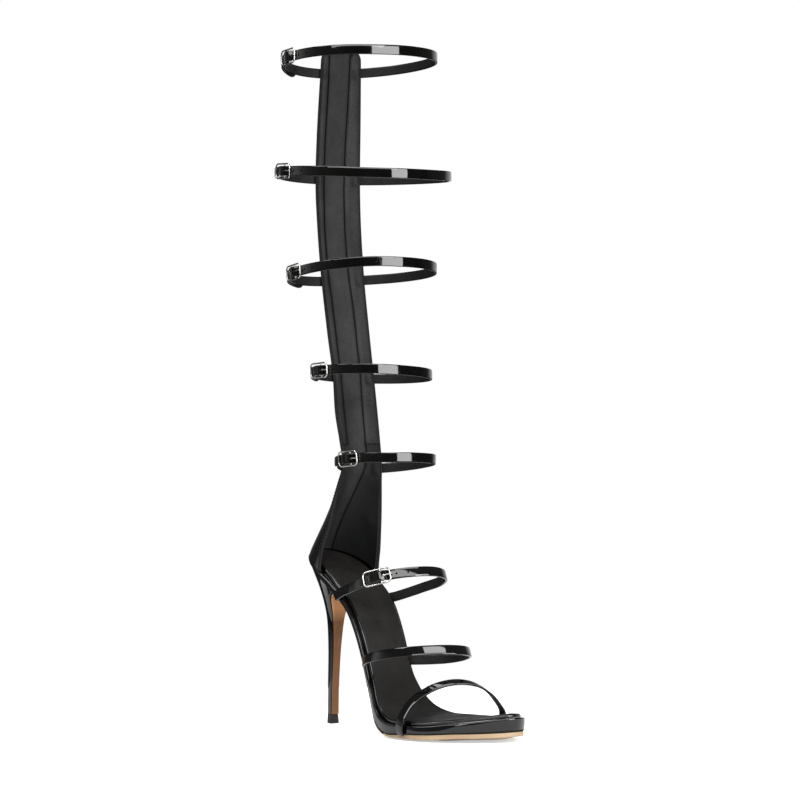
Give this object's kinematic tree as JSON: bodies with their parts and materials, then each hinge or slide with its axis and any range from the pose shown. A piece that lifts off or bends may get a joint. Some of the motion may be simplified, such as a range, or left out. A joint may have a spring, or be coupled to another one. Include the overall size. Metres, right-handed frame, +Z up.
{
  "type": "knee-high strappy stiletto sandal",
  "caption": "Knee-high open sandal for the right foot: slim stiletto heel, low platform, a back panel up the calf and narrow buckled straps round leg and foot.",
  "frame": {"origin": "middle of the heel tip's underside, on the floor", "axes": "+X from heel to toe, +Y to the inner side of this right foot, +Z up the leg"},
  "size_m": [0.2143, 0.1316, 0.502],
  "materials": {
    "patent_black": "high-gloss black patent",
    "insole_black": "soft matt brown-black leather",
    "sole_leather": "smooth tan sole leather",
    "breast_leather": "polished mid-tan leather",
    "silver_metal": "polished silver",
    "tip_rubber": "matt black",
    "zip_black": "satin black"
  },
  "bodies": {
    "sandal": {"insole": "insole_black", "platform": "patent_black", "outsole": "sole_leather", "heel": "patent_black", "heel_breast_cover": "breast_leather", "top_lift": "tip_rubber", "upper": "patent_black", "strap_1_short": "patent_black", "strap_1_long": "patent_black", "strap_1_buckle": "silver_metal", "strap_1_prong": "silver_metal", "strap_2_short": "patent_black", "strap_2_long": "patent_black", "strap_2_buckle": "silver_metal", "strap_2_prong": "silver_metal", "strap_3_short": "patent_black", "strap_3_long": "patent_black", "strap_3_buckle": "silver_metal", "strap_3_prong": "silver_metal", "strap_4_short": "patent_black", "strap_4_long": "patent_black", "strap_4_buckle": "silver_metal", "strap_4_prong": "silver_metal", "strap_5_short": "patent_black", "strap_5_long": "patent_black", "strap_5_buckle": "silver_metal", "strap_5_prong": "silver_metal", "instep_strap_short": "patent_black", "instep_strap_long": "patent_black", "instep_strap_buckle": "silver_metal", "instep_strap_prong": "silver_metal", "midfoot_strap": "patent_black", "toe_strap": "patent_black", "zip_chain": "zip_black", "zip_slider": "silver_metal"},
    "zip_pull": {"zip_pull": "patent_black"}
  },
  "joints": [
    {"name": "zip_pull_swing", "type": "hinge", "parent": "sandal", "child": "zip_pull", "pos_m": [-0.02226, 0.01886, 0.49248], "axis": [0.423, 0.9061, 0.0015], "range_deg": [0, 150]}
  ]
}
